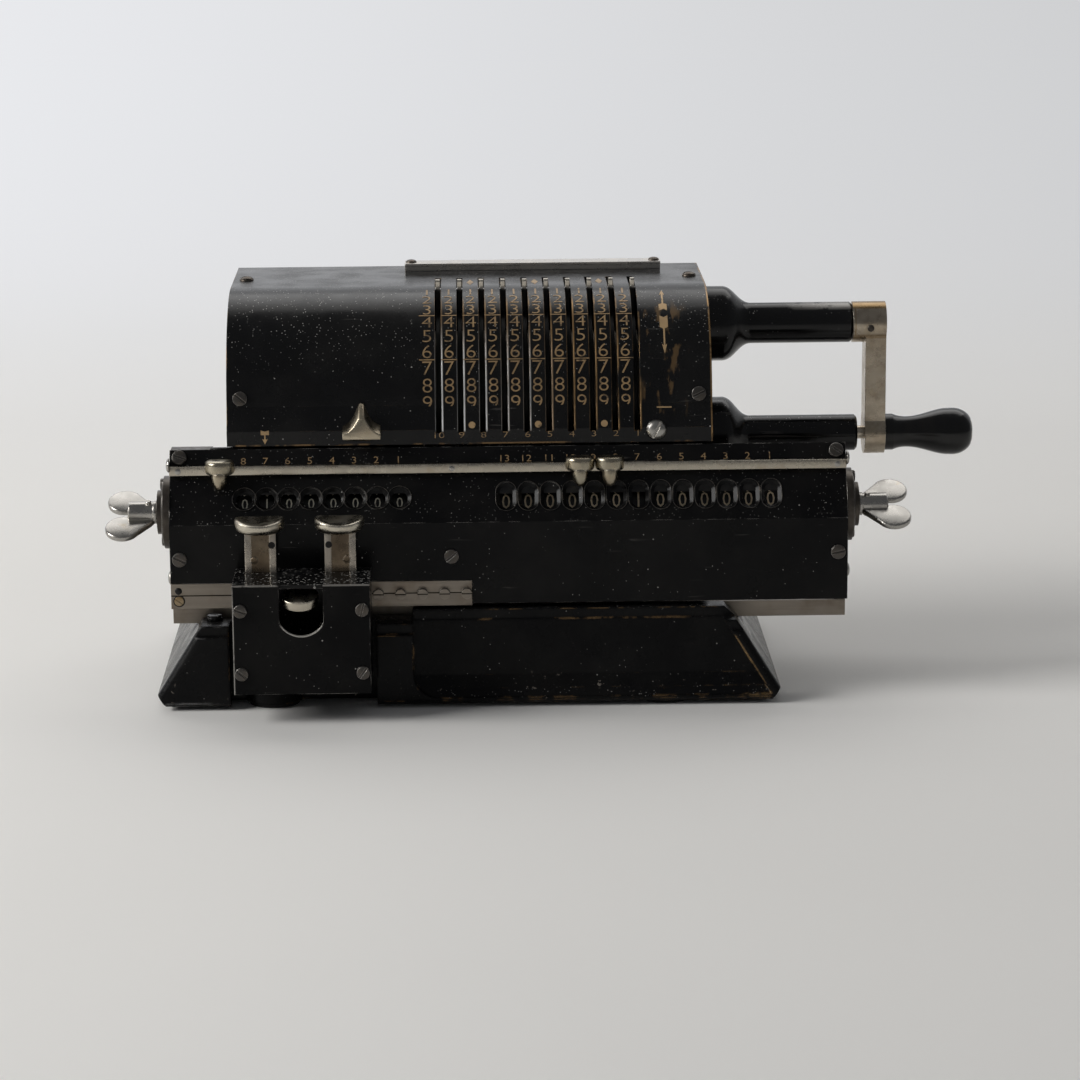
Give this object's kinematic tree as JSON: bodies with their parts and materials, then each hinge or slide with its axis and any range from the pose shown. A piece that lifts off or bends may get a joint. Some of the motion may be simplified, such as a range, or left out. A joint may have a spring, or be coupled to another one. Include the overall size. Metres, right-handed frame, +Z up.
{
  "type": "pinwheel calculator",
  "caption": "Hand-cranked desk calculator: black enamelled cover with setting levers over a sliding carriage of number dials, wing nuts for clearing and a box of keys.",
  "frame": {"origin": "centre of the base's flat underside, 1.5 mm above the surface its feet stand on", "axes": "+X to the right along the carriage, +Y away from the operator, +Z up"},
  "size_m": [0.3237, 0.143, 0.1478],
  "materials": {
    "cast_iron_black": "glossy black enamel on cast iron, worn at the edges",
    "black_enamel": "glossy black enamel, edges worn to brass colour",
    "nickel": "worn warm nickel plate",
    "steel": "dull steel",
    "dark_steel": "darkened steel screws",
    "brass": "machined brass",
    "black_rubber": "matt rubber",
    "black_grip": "black lacquered turned wood",
    "dial_paint": "black dials with pale engraved digits"
  },
  "bodies": {
    "frame": {"base_casting": "cast_iron_black", "base_plate": "black_enamel", "left_side_plate": "black_enamel", "right_side_plate": "black_enamel", "top_cover": "black_enamel", "rear_cover": "black_enamel", "front_apron": "black_enamel", "frame_screws": "dark_steel", "setting_rail": "nickel", "crank_bearing": "black_enamel", "crank_rest_post": "black_enamel", "key_box": "black_enamel", "key_box_panel": "black_enamel", "carriage_guide": "steel", "rubber_feet": "black_rubber", "rotor_bushes": "brass", "transfer_shaft": "steel"},
    "rotor": {"rotor_shaft": "steel", "pinwheel_discs": "steel", "setting_pins": "steel", "rotor_gear": "brass", "counting_finger": "steel"},
    "crank": {"crank_shaft": "steel", "crank_gear": "steel", "crank_arm": "nickel"},
    "crank_lock": {"crank_lock_spindle": "steel"},
    "crank_handle": {"crank_grip": "black_grip"},
    "carriage": {"carriage_face_plate": "black_enamel", "carriage_left_end": "steel", "carriage_right_end": "steel", "carriage_centre_bearing": "steel", "carriage_rail": "steel", "marker_strip": "nickel", "stop_rack": "steel", "carriage_screws": "dark_steel"},
    "result_register": {"result_shaft": "steel", "result_wing_nut": "nickel", "result_dials": "dial_paint"},
    "counter_register": {"counter_shaft": "steel", "counter_wing_nut": "nickel", "counter_dials": "dial_paint"},
    "transfer_train": {"transfer_gears": "brass"},
    "counter_train": {"counter_transfer_gear": "brass"},
    "marker_left": {"decimal_marker_left": "nickel"},
    "marker_middle": {"decimal_marker_middle": "nickel"},
    "marker_right": {"decimal_marker_right": "nickel"},
    "key_shift_left": {"shift_key_left": "nickel"},
    "key_shift_right": {"shift_key_right": "nickel"},
    "key_release": {"release_key": "nickel"},
    "zero_slide": {"zero_slide_knob": "nickel"},
    "setting_01": {"setting_lever_01": "nickel"},
    "setting_02": {"setting_lever_02": "nickel"},
    "setting_03": {"setting_lever_03": "nickel"},
    "setting_04": {"setting_lever_04": "nickel"},
    "setting_05": {"setting_lever_05": "nickel"},
    "setting_06": {"setting_lever_06": "nickel"},
    "setting_07": {"setting_lever_07": "nickel"},
    "setting_08": {"setting_lever_08": "nickel"},
    "setting_09": {"setting_lever_09": "nickel"},
    "setting_10": {"setting_lever_10": "nickel"}
  },
  "joints": [
    {"name": "carriage_slide", "type": "slide", "parent": "frame", "child": "carriage", "axis": [1, 0, 0], "range_m": [-0.048, 0.008]},
    {"name": "rotor_turn", "type": "hinge", "parent": "frame", "child": "rotor", "pos_m": [0, 0.008, 0.1028], "axis": [1, 0, 0], "continuous": true},
    {"name": "crank_turn", "type": "hinge", "parent": "frame", "child": "crank", "pos_m": [0.15, 0.02797, 0.12355], "axis": [1, 0, 0], "continuous": true},
    {"name": "grip_pull", "type": "slide", "parent": "crank", "child": "crank_lock", "axis": [1, 0, 0], "range_m": [0, 0.005], "stiffness_N_per_m": 800, "springref_m": -0.005},
    {"name": "grip_spin", "type": "hinge", "parent": "crank_lock", "child": "crank_handle", "pos_m": [0.17, 0.02797, 0.081], "axis": [1, 0, 0], "continuous": true},
    {"name": "lever_01_set", "type": "hinge", "parent": "rotor", "child": "setting_01", "pos_m": [0.062, 0.008, 0.1028], "axis": [1, 0, 0], "range_deg": [0, 81]},
    {"name": "lever_02_set", "type": "hinge", "parent": "rotor", "child": "setting_02", "pos_m": [0.054, 0.008, 0.1028], "axis": [1, 0, 0], "range_deg": [0, 81]},
    {"name": "lever_03_set", "type": "hinge", "parent": "rotor", "child": "setting_03", "pos_m": [0.046, 0.008, 0.1028], "axis": [1, 0, 0], "range_deg": [0, 81]},
    {"name": "lever_04_set", "type": "hinge", "parent": "rotor", "child": "setting_04", "pos_m": [0.038, 0.008, 0.1028], "axis": [1, 0, 0], "range_deg": [0, 81]},
    {"name": "lever_05_set", "type": "hinge", "parent": "rotor", "child": "setting_05", "pos_m": [0.03, 0.008, 0.1028], "axis": [1, 0, 0], "range_deg": [0, 81]},
    {"name": "lever_06_set", "type": "hinge", "parent": "rotor", "child": "setting_06", "pos_m": [0.022, 0.008, 0.1028], "axis": [1, 0, 0], "range_deg": [0, 81]},
    {"name": "lever_07_set", "type": "hinge", "parent": "rotor", "child": "setting_07", "pos_m": [0.014, 0.008, 0.1028], "axis": [1, 0, 0], "range_deg": [0, 81]},
    {"name": "lever_08_set", "type": "hinge", "parent": "rotor", "child": "setting_08", "pos_m": [0.006, 0.008, 0.1028], "axis": [1, 0, 0], "range_deg": [0, 81]},
    {"name": "lever_09_set", "type": "hinge", "parent": "rotor", "child": "setting_09", "pos_m": [-0.002, 0.008, 0.1028], "axis": [1, 0, 0], "range_deg": [0, 81]},
    {"name": "lever_10_set", "type": "hinge", "parent": "rotor", "child": "setting_10", "pos_m": [-0.01, 0.008, 0.1028], "axis": [1, 0, 0], "range_deg": [0, 81]},
    {"name": "result_clear_turn", "type": "hinge", "parent": "carriage", "child": "result_register", "pos_m": [0.07, -0.034, 0.0666], "axis": [1, 0, 0], "continuous": true},
    {"name": "counter_clear_turn", "type": "hinge", "parent": "carriage", "child": "counter_register", "pos_m": [-0.06, -0.034, 0.0666], "axis": [1, 0, 0], "continuous": true},
    {"name": "transfer_turn", "type": "hinge", "parent": "frame", "child": "transfer_train", "pos_m": [0.02, -0.01532, 0.06315], "axis": [1, 0, 0], "continuous": true},
    {"name": "counter_transfer_turn", "type": "hinge", "parent": "frame", "child": "counter_train", "pos_m": [-0.0765, -0.01532, 0.06315], "axis": [1, 0, 0], "continuous": true},
    {"name": "marker_left_slide", "type": "slide", "parent": "carriage", "child": "marker_left", "axis": [1, 0, 0], "range_m": [-0.008, 0.076]},
    {"name": "marker_middle_slide", "type": "slide", "parent": "carriage", "child": "marker_middle", "axis": [1, 0, 0], "range_m": [-0.039, 0]},
    {"name": "marker_right_slide", "type": "slide", "parent": "carriage", "child": "marker_right", "axis": [1, 0, 0], "range_m": [0, 0.075]},
    {"name": "shift_left_press", "type": "slide", "parent": "frame", "child": "key_shift_left", "axis": [0, 0, -1], "range_m": [0, 0.005], "stiffness_N_per_m": 300, "springref_m": -0.003},
    {"name": "shift_right_press", "type": "slide", "parent": "frame", "child": "key_shift_right", "axis": [0, 0, -1], "range_m": [0, 0.005], "stiffness_N_per_m": 300, "springref_m": -0.003},
    {"name": "release_press", "type": "slide", "parent": "frame", "child": "key_release", "axis": [0, 0, -1], "range_m": [0, 0.004], "stiffness_N_per_m": 300, "springref_m": -0.003},
    {"name": "zero_slide_move", "type": "slide", "parent": "frame", "child": "zero_slide", "axis": [-1, 0, 0], "range_m": [0, 0.004]}
  ],
  "couplings": [
    {"joint": "crank_turn", "follows": "rotor_turn", "ratio": -1},
    {"joint": "transfer_turn", "follows": "result_clear_turn", "ratio": -1},
    {"joint": "counter_transfer_turn", "follows": "counter_clear_turn", "ratio": -1}
  ]
}
